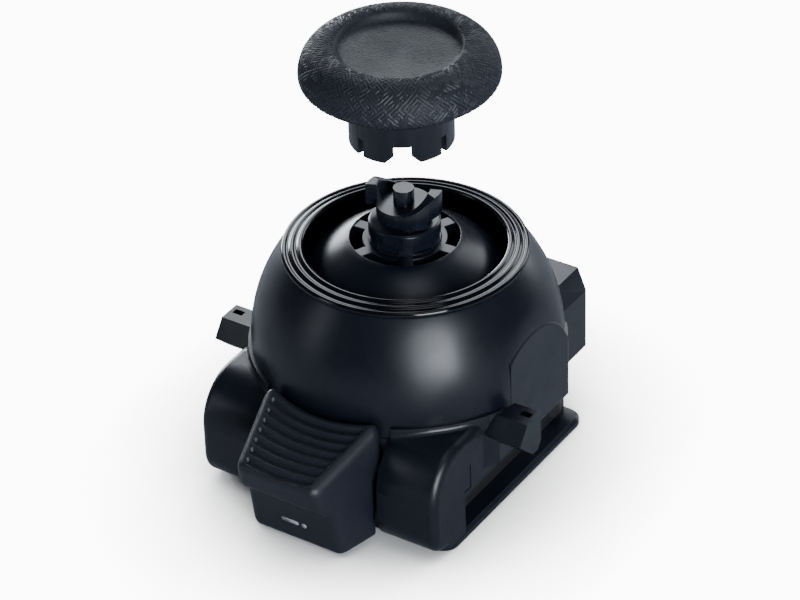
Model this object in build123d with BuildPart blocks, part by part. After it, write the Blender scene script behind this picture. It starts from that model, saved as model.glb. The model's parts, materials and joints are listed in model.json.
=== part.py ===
from build123d import *
import math
import os

# A replaceable analogue stick module for a hand controller, with its stick cap lifted off above it.
# Frame: +X to the module's right, -Y towards its function button, +Z up along the stick.
# The origin is on the underside of the base plate, on the stick's axis. All sizes are in millimetres.

os.makedirs("parts", exist_ok=True)

# ------------------------------------------------------------------ driving sizes
wall = 1.2                      # moulded casing wall
fit_gap = 0.05                  # running clearance between a shaft and its hole

# base plate
plate_width = 26.6
plate_front = 14.0              # distance from the stick axis to the front edge
plate_back = 11.3
plate_thickness = 0.85
plate_corner = 1.6
plate_edge = 0.3

# casing block
block_width = 26.8
block_front = 16.6
block_back = 7.7
block_arc = 5.0                 # radius of the rolled front top edge
block_top = 11.7
undercut_depth = 2.2            # how far the front foot is set back
undercut_height = 3.4
skirt_height = 5.0              # underside of the side walls behind the front pillars
pillar_depth = 5.4
front_wall = 3.0
roof = 1.2
slit_width = 0.16

# bowl, ring and dome, all round the tilt centre
pivot_height = 12.85
bowl_radius = 15.2
bowl_wall = 1.8
bowl_opening = 11.25
bowl_flange = 1.95              # straight band below the bowl's equator
side_flat = 14.2                # distance from the stick axis to the flats on the casing's sides
collar_wall = 0.32              # lip of the casing round the bowl's foot
collar_lap = 1.4
collar_base = 6.3
collar_fillet = 0.45
panel_base = 6.1                # the bowl's side panels: their foot, ends and rounded top
panel_front = 4.05
panel_back = 6.9
panel_centre = 10.8
ring_radius = 11.8
ring_top = 22.9
ring_pitch = 0.78
ring_rise = 0.17
ring_groove = 0.22
ring_bore = 10.1
ring_skirt = 2.6
dome_radius = 12.26
dome_wall = 0.95
dome_hole = 5.31
dome_edge_angle = 79.5          # polar angle of the dome's lower edge

# gimbal
tilt_limit = 16.0
shaft_radius = 1.5
sleeve_radius = 2.4
sleeve_top = 2.8                # above the tilt centre
sleeve_foot = 4.0               # below the tilt centre
foot_radius = 4.2
foot_thickness = 0.6
trunnion_radius = 0.8
rocker_half_x = 5.2
rocker_half_y = 4.3
rocker_half_z = 1.5
rocker_window_x = 3.4
rocker_window_y = 2.75
axle_radius = 1.2
arch_inner = 5.3
arch_outer = 6.3
arch_half_width = 2.6
arch_slot_gap = 0.25            # each side of the shaft, for the yoke's lag at combined tilt
arch_boss_radius = 1.9
frame_inner = 6.6
frame_wall = 0.9
frame_floor = 0.8
frame_above_pivot = 2.2
click_travel = 0.5

# tilt sensors
sensor_depth = 2.1
sensor_half_width = 3.0
sensor_above = 2.8
sensor_below = 5.0
sensor_cover_thickness = 0.5
wiper_radius = 2.3
wiper_thickness = 0.6
track_thickness = 0.3

# boards and tray
tray_half_width = 11.25
tray_front = 12.2
tray_back = 10.6
tray_wall = 0.8
tray_floor = 0.6
tray_height = 4.4
post_radius = 1.4
board_thickness = 0.8
screw_radius = 0.7
screw_head_radius = 1.3
screw_head_depth = 0.55

# stick head
head_radius = 2.67
head_base = 25.95
head_floor = 27.65
head_groove_radius = 2.3
wing_outer = 3.7
wing_turn = -12.0               # turn of the wings' high ends from the view turn
wing_top = 29.3
wing_span = 86.0
wing_bottom = 26.25
wing_notch = 27.05
post_pin_radius = 1.0
post_pin_top = 29.25
view_turn = 33.9                # turn of the head's wings about the stick axis
collar_radius = 3.48
collar_top = 25.9
collar_bottom = 21.9
rib_top = 23.7
rib_width = 1.3
rib_count = 6
rib_turn = 4.0

# stick cap, lifted clear of the head
cap_radius = 9.5
cap_rim_height = 42.1
cap_crest_radius = 6.55
cap_crest_height = 45.15
cap_dish_radius = 5.6
cap_dish_edge = 44.25
cap_dish_depth = 0.4
skirt_radius = 5.0
skirt_bore = 4.1
skirt_slot_top = 36.75
cap_root_height = 38.9
cap_ceiling = 42.5
leg_tip = 34.95
leg_chamfer = 0.85
cap_turn = -56.1                # turn of the cap's slots about the stick axis
slot_places = ((0, 19.0), (50.75, 8.5), (90, 6.0), (129.25, 8.5))   # turn and width in degrees, on each half
cap_plate = 43.0                # underside of the rubber over the core
core_radius = 7.8
core_edge = 42.2
rim_foot_radius = 8.75
rim_foot = 41.05

# function button
button_back_radius = 15.6
button_half_back = 6.65
button_half_front = 4.5
button_nose = 23.3
button_heel = 13.0              # rear limit of the button's outline, cut back by the hollow round the bowl
button_wide = 14.2              # where the button is at its widest
button_top_back = 13.3
button_top_front = 9.85
button_foot_y = 19.9
button_lip = (-22.85, 7.5)      # lower edge of the ribbed head, and the front plate's top below it
button_waist = (-20.85, 5.7)
button_round = 0.95             # its upright edges
button_foot = 0.4
button_pivot_y = 15.0
button_pivot_z = 8.2
button_pin_radius = 0.6
button_press = 3.5
groove_count = 7
groove_first = 16.75
groove_pitch = 0.98
groove_width = 0.66
groove_depth = 0.32
groove_margin = 1.0             # from a groove's end to the button's side
opening_half_width = 6.95
switch_height = 4.5

# rear cover and connector
rear_half_width = 10.95
rear_back = 15.8
rear_front = 9.6
rear_bottom = 5.35
rear_top = 14.6
rear_bevel_x = 0.95
rear_bevel_z = 2.4
lid_thickness = 0.8
connector_half_width = 6.5
contact_count = 8
contact_pitch = 1.4

# side lugs
lug_reach = 17.5
lug_front = 7.9
lug_back = 4.1
lug_top = 12.1
lug_bottom = 8.1
lug_hole = 1.1

# ------------------------------------------------------------------ places worked out from them
plate_top = plate_thickness
board_bottom = plate_top + tray_floor
board_top = board_bottom + board_thickness
frame_outer = frame_inner + frame_wall
frame_top = pivot_height + frame_above_pivot
block_half = block_width / 2
arc_y = block_arc - block_front
arc_z = block_top - block_arc
bowl_inner = bowl_radius - bowl_wall
bowl_foot = pivot_height - bowl_flange
collar_top_z = bowl_foot + collar_lap
collar_outer = bowl_radius + collar_wall
front_cavity = block_front - front_wall
ring_inner_top = ring_top + 2 * ring_rise
up = (Align.CENTER, Align.CENTER, Align.MIN)
screw_places = [(x, y) for x in (-10.3, 10.3) for y in (-10.6, 9.0)]


def finish(piece, name):
    """Labels a finished piece and writes it under its node's name."""
    piece.part.label = name
    export_step(piece.part, f"parts/{name}.step")


def sphere_height(radius, r):
    """Height above the tilt centre of a sphere's surface at distance r from the axis."""
    return math.sqrt(radius**2 - r**2)


# ------------------------------------------------------------------ base plate and its screws
with BuildPart() as base_plate:
    with BuildSketch(Plane.XY):
        with Locations((0, (plate_back - plate_front) / 2)):
            RectangleRounded(plate_width, plate_front + plate_back, plate_corner)
    extrude(amount=plate_thickness)
    chamfer(base_plate.faces().sort_by(Axis.Z)[-1].edges(), plate_edge)
    with Locations(*screw_places):
        Cylinder(screw_radius + fit_gap, plate_thickness, align=up, mode=Mode.SUBTRACT)
        Cone(screw_head_radius + fit_gap, screw_radius + fit_gap, screw_head_depth + fit_gap,
             align=up, mode=Mode.SUBTRACT)
finish(base_plate, "base_plate")

screw_length = tray_height - 0.6
with BuildPart() as base_screws:
    with Locations(*screw_places):
        Cone(screw_head_radius, screw_radius, screw_head_depth, align=up)
        Cylinder(screw_radius, screw_length, align=up)
        Box(1.5, 0.3, 0.3, align=up, mode=Mode.SUBTRACT)
        Box(0.3, 1.5, 0.3, align=up, mode=Mode.SUBTRACT)
finish(base_screws, "base_screws")

# ------------------------------------------------------------------ inner tray and circuit board
tray_depth = tray_front + tray_back
tray_middle = (tray_back - tray_front) / 2
with BuildPart() as inner_tray:
    with BuildSketch(Plane.XY.offset(plate_top)):
        with Locations((0, tray_middle)):
            Rectangle(2 * tray_half_width, tray_depth)
    extrude(amount=tray_height - plate_top)
    with BuildSketch(Plane.XY.offset(board_bottom)):
        with Locations((0, tray_middle)):
            Rectangle(2 * (tray_half_width - tray_wall), tray_depth - 2 * tray_wall)
    extrude(amount=tray_height, mode=Mode.SUBTRACT)
    with BuildSketch(Plane.XY.offset(board_bottom)):
        with Locations(*screw_places):
            Circle(post_radius)
    extrude(amount=tray_height - board_bottom)
    with BuildSketch(Plane.XY.offset(plate_top)):
        with Locations(*screw_places):
            Circle(screw_radius)
    extrude(amount=screw_length - plate_top, mode=Mode.SUBTRACT)
finish(inner_tray, "inner_tray")

board_gap = 0.1
board_half = tray_half_width - tray_wall - board_gap
with BuildPart() as circuit_board:
    with BuildSketch(Plane.XY.offset(board_bottom)):
        with Locations((0, tray_middle)):
            Rectangle(2 * board_half, tray_depth - 2 * tray_wall - 2 * board_gap)
        with Locations(*screw_places):
            Circle(post_radius + board_gap, mode=Mode.SUBTRACT)
    extrude(amount=board_thickness)
finish(circuit_board, "circuit_board")

# ------------------------------------------------------------------ casing


arc_low = (-block_front, arc_z)
arc_middle = (arc_y - block_arc * math.sin(math.pi / 4), arc_z + block_arc * math.cos(math.pi / 4))
arc_high = (arc_y, block_top)
foot_low = (undercut_depth - block_front, plate_top)
foot_high = (-block_front, undercut_height)
foot_middle = (-block_front + 0.3 * undercut_depth, plate_top + 0.3 * (undercut_height - plate_top))
lug_profile = [
    (-lug_back, lug_top),
    (-lug_front + 1.3, lug_top),
    (-lug_front, lug_top - 1.8),
    (-lug_front + 2.3, lug_bottom),
    (-lug_back - 0.6, lug_bottom),
    (-lug_back, lug_bottom + 0.8),
]


def on_collar(edge):
    """True for an edge along the foot of the collar, where it stands on the block's roof and rolled front."""
    middle = edge.position_at(0.5)
    reach = math.hypot(middle.X, middle.Y)
    return abs(reach - collar_outer) < 0.01 and collar_base + 0.1 < middle.Z < collar_top_z - 0.1 \
        and edge.length > 1.0 and middle.Y < -panel_front and edge.geom_type != GeomType.LINE


with BuildPart() as base_housing:
    with BuildSketch(Plane.YZ.offset(-block_half)):
        with BuildLine():
            ThreePointArc(foot_low, foot_middle, foot_high)
            Line(foot_high, arc_low)
            ThreePointArc(arc_low, arc_middle, arc_high)
            Polyline(arc_high, (block_back, block_top), (block_back, skirt_height + 0.9),
                     (pillar_depth - block_front, skirt_height), (pillar_depth - block_front, plate_top),
                     foot_low)
        make_face()
    extrude(amount=2 * block_half)
    fillet(base_housing.edges().filter_by(Axis.Z).group_by(Axis.Y)[0], 0.9)
    # round collar under the bowl, with flats at the sides and open at the back for the rear cover
    with BuildSketch(Plane.XY.offset(collar_base)):
        Circle(collar_outer)
        with Locations((0, (rear_front - block_front) / 2)):
            Rectangle(2 * side_flat, block_front + rear_front, mode=Mode.INTERSECT)
        for side in (-1, 1):
            with Locations((side * (block_half + side_flat) / 2, (rear_front - panel_front) / 2)):
                Rectangle(side_flat - block_half, rear_front + panel_front, mode=Mode.SUBTRACT)
    extrude(amount=collar_top_z - collar_base)
    fillet([e for e in base_housing.edges() if on_collar(e)], collar_fillet)
    # side lugs
    with BuildSketch(Plane.YZ.offset(-lug_reach)):
        Polygon(*lug_profile, align=None)
    extrude(amount=2 * lug_reach)
    # hollow inside, below the roof and through it
    inner_half = block_half - wall
    with BuildSketch(Plane.YZ.offset(-inner_half)):
        with BuildLine():
            Polyline((-front_cavity, plate_top), (-front_cavity, arc_z + 2.2), (-front_cavity + 1.4, block_top - roof),
                     (block_back + wall, block_top - roof), (block_back + wall, plate_top),
                     (-front_cavity, plate_top))
        make_face()
    extrude(amount=2 * inner_half, mode=Mode.SUBTRACT)
    with BuildSketch(Plane.XY.offset(collar_base)):
        Circle(bowl_inner)
        with Locations((0, bowl_radius / 2 + 4.0)):
            Rectangle(2 * inner_half, bowl_radius, mode=Mode.INTERSECT)
    extrude(amount=block_top - collar_base, mode=Mode.SUBTRACT)
    with Locations((0, 0, block_top - roof)):
        Cylinder(bowl_inner, 2 * roof, align=up, mode=Mode.SUBTRACT)
    with Locations((0, 0, bowl_foot)):
        Cylinder(bowl_radius, 2 * bowl_flange, align=up, mode=Mode.SUBTRACT)
    # slit in each side, behind the front pillar
    slit_y = pillar_depth - block_front + 1.0
    for side in (-1, 1):
        with BuildSketch(Plane.YZ.offset(side * (block_half - 0.35))):
            with Locations((slit_y, skirt_height + 2.0)):
                Rectangle(slit_width, 2.6)
            with Locations((slit_y - 0.5, skirt_height + 0.7)):
                Rectangle(1.0 + slit_width, slit_width)
        extrude(amount=side * 1.0, mode=Mode.SUBTRACT)
    # lug pockets
    with Locations((lug_reach - 1.0, -lug_back - 1.0, lug_top), (1.0 - lug_reach, -lug_back - 1.0, lug_top)):
        Box(lug_hole, 0.7, 2.0, mode=Mode.SUBTRACT)
    # opening for the function button, outside the inner wall, and the window of its switch
    with BuildSketch(Plane.XY):
        with Locations((0, -block_front)):
            Rectangle(2 * opening_half_width, 2 * front_wall)
        Circle(bowl_radius, mode=Mode.SUBTRACT)
    extrude(amount=collar_top_z + 1.0, mode=Mode.SUBTRACT)
    with Locations((0, -block_front, switch_height)):
        Box(4.8, 2 * block_front - 2 * tray_front, 3.4, mode=Mode.SUBTRACT)
    # bores of the function button's pivot pins
    for side in (-1, 1):
        with BuildSketch(Plane.YZ.offset(side * opening_half_width)):
            with Locations((-button_pivot_y, button_pivot_z)):
                Circle(button_pin_radius)
        extrude(amount=side * 1.5, mode=Mode.SUBTRACT)
finish(base_housing, "base_housing")

# ------------------------------------------------------------------ bowl and trim ring
seat_height = pivot_height + sphere_height(bowl_radius, ring_radius)
with BuildPart() as bowl_shell:
    with BuildSketch(Plane.XZ):
        with BuildLine():
            start = (bowl_radius, bowl_foot)
            equator = (bowl_radius, pivot_height)
            half = math.radians(25)
            outer_mid = (bowl_radius * math.cos(half), pivot_height + bowl_radius * math.sin(half))
            outer_end = (ring_radius, seat_height)
            Line(start, equator)
            ThreePointArc(equator, outer_mid, outer_end)
            inner_top = pivot_height + sphere_height(bowl_inner, bowl_opening)
            inner_mid = (bowl_inner * math.cos(half * 0.6), pivot_height + bowl_inner * math.sin(half * 0.6))
            Polyline(outer_end, (bowl_opening, seat_height), (bowl_opening, inner_top))
            ThreePointArc((bowl_opening, inner_top), inner_mid, (bowl_inner, pivot_height))
            Polyline((bowl_inner, pivot_height), (bowl_inner, bowl_foot), start)
        make_face()
    revolve(axis=Axis.Z)
    with BuildSketch(Plane.XY.offset(bowl_foot)):
        Rectangle(2 * side_flat, 4 * bowl_radius)
    extrude(amount=bowl_radius + bowl_flange, mode=Mode.INTERSECT)
    # side panels that hang down outside the block, behind the lugs
    for side in (-1, 1):
        with BuildSketch(Plane.YZ.offset(side * (block_half + fit_gap))):
            with Locations((0, panel_centre)):
                Circle(panel_back)
            with Locations((0, (panel_base + panel_centre) / 2)):
                Rectangle(2 * panel_back, panel_centre - panel_base)
            with Locations((-panel_front, panel_centre)):
                Rectangle(2 * panel_back, 4 * panel_back, align=(Align.MAX, Align.CENTER), mode=Mode.SUBTRACT)
            with Locations((0, panel_base)):
                Rectangle(4 * panel_back, 2 * panel_back, align=(Align.CENTER, Align.MAX), mode=Mode.SUBTRACT)
        extrude(amount=side * (side_flat - block_half - fit_gap))
finish(bowl_shell, "bowl_shell")

with BuildPart() as trim_ring:
    with BuildSketch(Plane.XZ):
        with BuildLine():
            ridge_1 = ring_radius - 0.1
            ridge_2 = ridge_1 - ring_pitch
            ridge_3 = ridge_2 - ring_pitch
            Polyline(
                (ring_bore, ring_inner_top - ring_skirt),
                (ring_bore + 0.9, ring_inner_top - ring_skirt),
                (ring_bore + 0.9, seat_height),
                (ring_radius + 0.15, seat_height),
                (ring_radius + 0.15, ring_top - 0.25),
                (ridge_1 + 0.1, ring_top),
                (ridge_1 - 0.15, ring_top),
                (ridge_1 - ring_pitch / 2, ring_top - ring_groove),
                (ridge_2 + 0.15, ring_top + ring_rise),
                (ridge_2 - 0.15, ring_top + ring_rise),
                (ridge_2 - ring_pitch / 2, ring_top + ring_rise - ring_groove),
                (ridge_3 + 0.15, ring_inner_top),
                (ring_bore, ring_inner_top),
                (ring_bore, ring_inner_top - ring_skirt),
            )
        make_face()
    revolve(axis=Axis.Z)
finish(trim_ring, "trim_ring")

# ------------------------------------------------------------------ dust dome and post collar, which move with the stick


def on_sphere(radius, polar):
    """Point (r, z) on a sphere round the tilt centre, at a polar angle in degrees from the stick axis."""
    turn = math.radians(polar)
    return radius * math.sin(turn), pivot_height + radius * math.cos(turn)


dome_inner = dome_radius - dome_wall
hole_angle = math.degrees(math.asin(dome_hole / dome_radius))
hole_inner_angle = math.degrees(math.asin(dome_hole / dome_inner))
with BuildPart() as dust_dome:
    with BuildSketch(Plane.XZ):
        with BuildLine():
            middle_angle = (hole_angle + dome_edge_angle) / 2
            ThreePointArc(on_sphere(dome_radius, hole_angle), on_sphere(dome_radius, middle_angle),
                          on_sphere(dome_radius, dome_edge_angle))
            Line(on_sphere(dome_radius, dome_edge_angle), on_sphere(dome_inner, dome_edge_angle))
            ThreePointArc(on_sphere(dome_inner, dome_edge_angle), on_sphere(dome_inner, middle_angle),
                          on_sphere(dome_inner, hole_inner_angle))
            Line(on_sphere(dome_inner, hole_inner_angle), on_sphere(dome_radius, hole_angle))
        make_face()
    revolve(axis=Axis.Z)
    rib_end = dome_hole + 0.25
    with BuildSketch(Plane.XY.offset(collar_bottom)):
        with PolarLocations((collar_radius + rib_end) / 2, rib_count, start_angle=rib_turn):
            Rectangle(rib_end - collar_radius + 0.2, rib_width)
        Circle(collar_radius + 0.6)
        Circle(collar_radius, mode=Mode.SUBTRACT)
    extrude(amount=rib_top - collar_bottom)
finish(dust_dome, "dust_dome")

with BuildPart() as post_collar:
    with Locations((0, 0, collar_bottom)):
        Cylinder(collar_radius, collar_top - collar_bottom, align=up)
    chamfer(post_collar.faces().sort_by(Axis.Z)[-1].edges(), 0.2)
    # notches round its foot, and a flat step down each side
    with BuildSketch(Plane.XY.offset(rib_top + 0.1)):
        with PolarLocations(collar_radius, rib_count, start_angle=rib_turn + 180 / rib_count):
            Rectangle(0.7, 2.2)
    extrude(amount=0.75, mode=Mode.SUBTRACT)
    with BuildSketch(Plane.XY.offset(rib_top + 0.6)):
        with PolarLocations(collar_radius, 2, start_angle=view_turn - 90 - 20):
            Rectangle(0.3, 2.6)
    extrude(amount=collar_top, mode=Mode.SUBTRACT)
    Cylinder(shaft_radius, 4 * collar_top, mode=Mode.SUBTRACT)
finish(post_collar, "post_collar")

# ------------------------------------------------------------------ stick shaft and head
shaft_bottom = pivot_height - 5.2
shaft_top = head_base + 1.0
ball_radius = pivot_height - shaft_bottom
with BuildPart() as stick_shaft:
    with Locations((0, 0, shaft_bottom)):
        Cylinder(shaft_radius, pivot_height - shaft_bottom, align=up)
    # the end is part of a ball round the tilt centre, so tilting doesn't press the switch
    with Locations((0, 0, pivot_height)):
        Sphere(ball_radius, mode=Mode.INTERSECT)
        Cylinder(shaft_radius, shaft_top - pivot_height, align=up)
finish(stick_shaft, "stick_shaft")


def plan_point(radius, turn):
    """Point in plan at a radius and an angle in degrees."""
    return radius * math.cos(math.radians(turn)), radius * math.sin(math.radians(turn))


with BuildPart() as stick_head:
    with Locations((0, 0, head_base)):
        Cylinder(head_groove_radius, head_floor - head_base, align=up)
    with Locations((0, 0, head_base + 0.3)):
        Cylinder(head_radius, head_floor - head_base - 0.3, align=up)
    for half_turn in (0, 180):
        high_end = view_turn + wing_turn + half_turn
        low_end = high_end - wing_span
        with BuildSketch(Plane.XY.offset(wing_bottom)):
            with BuildLine():
                inner_radius = head_radius - 0.07
                inner_points = [plan_point(inner_radius, high_end - wing_span * t) for t in (0, 0.5, 1)]
                outer_points = [plan_point(r, high_end - wing_span * t)
                                for r, t in ((wing_outer, 0), (wing_outer - 0.25, 0.45), (head_radius + 0.15, 1))]
                ThreePointArc(*inner_points)
                ThreePointArc(*outer_points)
                Line(inner_points[0], outer_points[0])
                Line(inner_points[2], outer_points[2])
            make_face()
        extrude(amount=wing_top - wing_bottom)
        # sloping ramp from the high end down to the head's floor
        run = head_radius * math.sin(math.radians(wing_span / 2))
        with BuildSketch(Plane.YZ.rotated((0, 0, high_end - wing_span / 2))):
            Polygon((-2 * run, head_floor), (-run, head_floor), (run - 0.7, wing_top), (2 * run, wing_top),
                    (2 * run, wing_top + 1.0), (-2 * run, wing_top + 1.0), align=None)
        extrude(amount=2 * wing_outer, mode=Mode.SUBTRACT)
        # undercut below the high end
        notch_centre = plan_point(head_radius + 0.6, high_end - 10)
        with Locations(Location((*notch_centre, wing_bottom), (0, 0, high_end - 10))):
            Box(1.2, 3.2, wing_notch - wing_bottom, align=up, mode=Mode.SUBTRACT)
    with Locations((0, 0, head_floor - 0.2)):
        Cylinder(post_pin_radius, post_pin_top - head_floor + 0.2, align=up)
    chamfer(stick_head.faces().filter_by(Plane.XY).sort_by(Axis.Z)[-1].edges().filter_by(GeomType.CIRCLE), 0.12)
    with Locations((0, 0, head_base)):
        Cylinder(shaft_radius, shaft_top - head_base, align=up, mode=Mode.SUBTRACT)
finish(stick_head, "stick_head")

# ------------------------------------------------------------------ stick cap
with BuildPart() as cap_core:
    with BuildSketch(Plane.XZ):
        with BuildLine():
            Polyline((0, cap_ceiling), (skirt_bore, cap_ceiling), (skirt_bore, leg_tip), (skirt_radius, leg_tip),
                     (skirt_radius, cap_root_height + 0.7), (core_radius, core_edge), (core_radius, cap_plate),
                     (0, cap_plate), (0, cap_ceiling))
        make_face()
    revolve(axis=Axis.Z)
    # legs: the slots between them, then the corners cut off beside the two wide slots
    for half_turn in (0, 180):
        for place, width in slot_places:
            slot = 2 * skirt_radius * math.sin(math.radians(width / 2))
            with BuildSketch(Plane.XY.offset(leg_tip - 1.0)):
                with PolarLocations(skirt_radius, 1, start_angle=cap_turn + half_turn + place):
                    Rectangle(3.0, slot)
            extrude(amount=skirt_slot_top - leg_tip + 1.0, mode=Mode.SUBTRACT)
        wide = skirt_radius * math.sin(math.radians(slot_places[0][1] / 2))
        with BuildSketch(Plane.YZ.rotated((0, 0, cap_turn + half_turn)).offset(skirt_bore - 1.0)):
            Polygon((-wide - leg_chamfer, leg_tip), (-wide, leg_tip + leg_chamfer), (wide, leg_tip + leg_chamfer),
                    (wide + leg_chamfer, leg_tip), align=None)
        extrude(amount=3.0, mode=Mode.SUBTRACT)
finish(cap_core, "cap_core")

with BuildPart() as cap_pad:
    with BuildSketch(Plane.XZ):
        with BuildLine():
            rim = (cap_radius, cap_rim_height)
            crest = (cap_crest_radius, cap_crest_height)
            dish = (cap_dish_radius, cap_dish_edge)
            bottom = (rim_foot_radius, rim_foot)
            root = (skirt_radius + 0.4, cap_root_height)
            Polyline((0, cap_plate), (core_radius, cap_plate), (core_radius, core_edge),
                     (skirt_radius, cap_root_height + 0.7),
                     (skirt_radius, cap_root_height), root)
            Line(root, bottom)
            ThreePointArc(bottom, (9.33, 41.45), rim)
            ThreePointArc(rim, (8.65, 44.3), crest)
            Spline(crest, (5.95, 44.85), dish, tangents=((-1, 0), (-0.9, -0.35)))
            Spline(dish, (0, cap_dish_edge - cap_dish_depth), tangents=((-0.95, -0.3), (-1, 0)))
            Line((0, cap_dish_edge - cap_dish_depth), (0, cap_plate))
        make_face()
    revolve(axis=Axis.Z)
finish(cap_pad, "cap_pad")

# ------------------------------------------------------------------ gimbal: sleeve, rocker, arch yoke and frame
with BuildPart() as pivot_sleeve:
    with Locations((0, 0, pivot_height - sleeve_foot)):
        Cylinder(foot_radius, foot_thickness, align=up)
        Cylinder(sleeve_radius, sleeve_foot + sleeve_top, align=up)
    with Locations((0, 0, pivot_height)):
        Cylinder(trunnion_radius, 2 * rocker_half_y, rotation=(90, 0, 0))
    Cylinder(shaft_radius + fit_gap, 4 * pivot_height, mode=Mode.SUBTRACT)
finish(pivot_sleeve, "pivot_sleeve")

axle_end_x = frame_outer + sensor_depth - 0.2
with BuildPart() as rocker_frame:
    with Locations((0, 0, pivot_height)):
        Box(2 * rocker_half_x, 2 * rocker_half_y, 2 * rocker_half_z)
    fillet(rocker_frame.edges().filter_by(Axis.Z), 0.6)
    with Locations((0, 0, pivot_height)):
        Box(2 * rocker_window_x, 2 * rocker_window_y, 4 * rocker_half_z, mode=Mode.SUBTRACT)
        Cylinder(trunnion_radius + fit_gap, 3 * rocker_half_y, rotation=(90, 0, 0), mode=Mode.SUBTRACT)
    for side, reach in ((1, axle_end_x), (-1, frame_outer)):
        with BuildSketch(Plane.YZ.offset(side * (rocker_half_x - 0.5))):
            with Locations((0, pivot_height)):
                Circle(axle_radius)
        extrude(amount=side * (reach - rocker_half_x + 0.5))
finish(rocker_frame, "rocker_frame")

with BuildPart() as arch_yoke:
    # half ring over the rocker
    with BuildSketch(Plane.YZ.offset(-arch_half_width)):
        with Locations((0, pivot_height)):
            Circle(arch_outer)
            Circle(arch_inner, mode=Mode.SUBTRACT)
        with Locations((0, pivot_height - arch_outer)):
            Rectangle(4 * arch_outer, 2 * arch_outer, mode=Mode.SUBTRACT)
    extrude(amount=2 * arch_half_width)
    # bosses and axles along Y
    for side, reach in ((1, axle_end_x), (-1, frame_outer)):
        with BuildSketch(Plane.XZ.offset(-side * arch_inner)):
            with Locations((0, pivot_height)):
                Circle(arch_boss_radius)
        extrude(amount=-side * (arch_outer - arch_inner))
        with BuildSketch(Plane.XZ.offset(-side * arch_inner)):
            with Locations((0, pivot_height)):
                Circle(axle_radius)
        extrude(amount=-side * (reach - arch_inner))
    # slot that the shaft runs in
    slot_half = shaft_radius + arch_slot_gap
    slot_reach = arch_outer * math.sin(math.radians(1.6 * tilt_limit)) + slot_half
    with BuildSketch(Plane.XY.offset(pivot_height + rocker_half_z)):
        SlotOverall(2 * slot_reach, 2 * slot_half, rotation=90)
    extrude(amount=2 * arch_outer, mode=Mode.SUBTRACT)
finish(arch_yoke, "arch_yoke")

with BuildPart() as gimbal_frame:
    with BuildSketch(Plane.XY.offset(board_top)):
        Rectangle(2 * frame_outer, 2 * frame_outer)
    extrude(amount=frame_top - board_top)
    fillet(gimbal_frame.edges().filter_by(Axis.Z), 0.6)
    with BuildSketch(Plane.XY.offset(board_top + frame_floor)):
        Rectangle(2 * frame_inner, 2 * frame_inner)
    extrude(amount=frame_top, mode=Mode.SUBTRACT)
    # round the top of each wall into an ear over its bearing
    for plane in (Plane.YZ, Plane.XZ):
        for side in (-1, 1):
            with BuildSketch(plane.offset(-2 * frame_outer)):
                Polygon((side * 3.2, frame_top), (side * 2 * frame_outer, frame_top),
                        (side * 2 * frame_outer, pivot_height - 2.6), (side * 4.6, pivot_height - 2.6), align=None)
            extrude(amount=4 * frame_outer, mode=Mode.SUBTRACT)
    with Locations((0, 0, pivot_height)):
        Cylinder(axle_radius + fit_gap, 3 * frame_outer, rotation=(90, 0, 0), mode=Mode.SUBTRACT)
        Cylinder(axle_radius + fit_gap, 3 * frame_outer, rotation=(0, 90, 0), mode=Mode.SUBTRACT)
    with BuildSketch(Plane.XY.offset(board_top)):
        Rectangle(4.8, 4.8)
    extrude(amount=frame_floor, mode=Mode.SUBTRACT)
finish(gimbal_frame, "gimbal_frame")

# ------------------------------------------------------------------ click switch, its plunger and the centring spring
click_top = shaft_bottom - fit_gap
click_body_top = click_top - click_travel - 0.35
with BuildPart() as click_switch:
    with BuildSketch(Plane.XY.offset(board_top)):
        RectangleRounded(4.4, 4.4, 0.4)
    extrude(amount=click_body_top - board_top)
    with Locations((0, 0, click_body_top - 2.0)):
        Cylinder(1.2 + fit_gap, 3.0, align=up, mode=Mode.SUBTRACT)
finish(click_switch, "click_switch")

with BuildPart() as click_plunger:
    with Locations((0, 0, click_body_top - 2.0 + click_travel + 0.2)):
        Cylinder(1.2, click_top - click_body_top + 2.0 - click_travel - 0.2, align=up)
    chamfer(click_plunger.faces().sort_by(Axis.Z)[-1].edges(), 0.2)
finish(click_plunger, "click_plunger")

spring_wire = 0.25
spring_coil = 3.7
spring_turns = 4
spring_bottom = board_top + frame_floor + spring_wire
spring_top = pivot_height - sleeve_foot - spring_wire - fit_gap
spring_height = spring_top - spring_bottom
spring_path = Helix(pitch=spring_height / spring_turns, height=spring_height, radius=spring_coil)
spring_path = spring_path.moved(Location((0, 0, spring_bottom)))
with BuildPart() as return_spring:
    with BuildLine():
        add(spring_path)
    with BuildSketch(Plane(origin=spring_path @ 0, z_dir=spring_path % 0)):
        Circle(spring_wire)
    sweep(is_frenet=True)
finish(return_spring, "return_spring")

# ------------------------------------------------------------------ tilt sensors: one on each gimbal axis


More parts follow.
